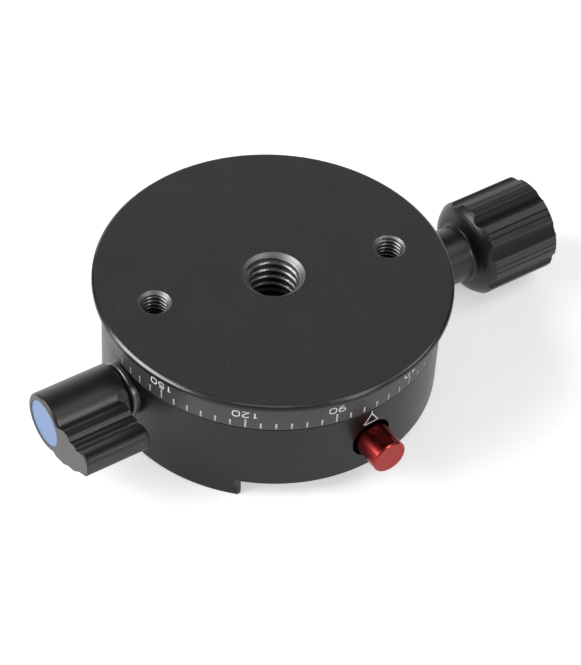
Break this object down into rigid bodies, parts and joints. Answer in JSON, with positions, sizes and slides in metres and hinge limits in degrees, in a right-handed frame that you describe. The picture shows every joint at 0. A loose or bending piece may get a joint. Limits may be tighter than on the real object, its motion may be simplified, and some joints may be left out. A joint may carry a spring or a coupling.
{
  "type": "panoramic tripod head",
  "caption": "Low panoramic tripod head: a disc with a degree scale turns on a housing with a dovetail plate clamp, a fluted clamp knob, a wing lock knob and a release button.",
  "frame": {"origin": "centre of the tripod face, on the pan axis", "axes": "+Z along the pan axis out of the tripod face, +X along the clamp screw towards the clamp knob, -Y towards the release button; drawn with the tripod face up, standing on the jaws' lips"},
  "size_m": [0.0986, 0.0636, 0.0235],
  "materials": {
    "black_anodised": "fine blasted, black anodised",
    "steel": "bright turned",
    "spring_steel": "drawn wire or strip",
    "black_steel": "black oxide",
    "bronze": "turned",
    "ptfe": "plain, matt",
    "blue_anodised": "satin, blue anodised",
    "red_anodised": "satin, red anodised"
  },
  "bodies": {
    "housing_body": {"housing": "black_anodised", "bearing_sleeve": "bronze", "upper_thrust_washer": "ptfe", "lower_thrust_washer": "ptfe", "clamp_thread_insert": "bronze", "lock_bush": "black_anodised", "pin_bore_plug": "steel", "jaw_springs": "spring_steel", "safety_pin_spring": "spring_steel"},
    "pan_body": {"base_disc": "black_anodised", "wave_washer": "spring_steel", "retaining_plate": "steel", "retaining_screws": "steel"},
    "jaw_body": {"movable_jaw": "black_anodised", "jaw_guide_pins": "steel", "clamp_washer": "steel"},
    "clamp_knob_body": {"clamp_knob": "black_anodised", "clamp_screw": "steel", "clamp_set_screw": "black_steel"},
    "lock_shoe_body": {"lock_shoe": "bronze"},
    "lock_knob_body": {"pan_lock_knob": "black_anodised", "lock_screw": "steel", "lock_knob_cap": "blue_anodised", "lock_set_screw": "black_steel"},
    "button_body": {"release_button": "red_anodised"},
    "safety_pin_body": {"safety_pin": "steel"}
  },
  "joints": [
    {"name": "pan", "type": "hinge", "parent": "housing_body", "child": "pan_body", "pos_m": [0, 0, 0], "axis": [0, 0, 1], "continuous": true},
    {"name": "jaw_slide", "type": "slide", "parent": "housing_body", "child": "jaw_body", "axis": [1, 0, 0], "range_m": [-0.0016, 0.003], "deforming": ["jaw_springs"]},
    {"name": "clamp_knob_turn", "type": "hinge", "parent": "jaw_body", "child": "clamp_knob_body", "pos_m": [0, 0, -0.01446], "axis": [1, 0, 0], "range_deg": [-576, 1080]},
    {"name": "lock_shoe_slide", "type": "slide", "parent": "housing_body", "child": "lock_shoe_body", "axis": [1, 0, 0], "range_m": [-0.0004, 0.00015]},
    {"name": "pan_lock_turn", "type": "hinge", "parent": "lock_shoe_body", "child": "lock_knob_body", "pos_m": [0, 0, -0.0118], "axis": [1, 0, 0], "range_deg": [-144, 54]},
    {"name": "release_button_press", "type": "slide", "parent": "housing_body", "child": "button_body", "axis": [0, 1, 0], "range_m": [0, 0.0024], "stiffness_N_per_m": 600},
    {"name": "safety_pin_lift", "type": "slide", "parent": "housing_body", "child": "safety_pin_body", "axis": [0, 0, 1], "range_m": [0, 0.0014], "deforming": ["safety_pin_spring"]}
  ],
  "couplings": [
    {"joint": "clamp_knob_turn", "follows": "jaw_slide", "rad_per_m": 6283.2},
    {"joint": "pan_lock_turn", "follows": "lock_shoe_slide", "rad_per_m": 6283.2},
    {"joint": "safety_pin_lift", "follows": "release_button_press", "ratio": 0.5833}
  ]
}
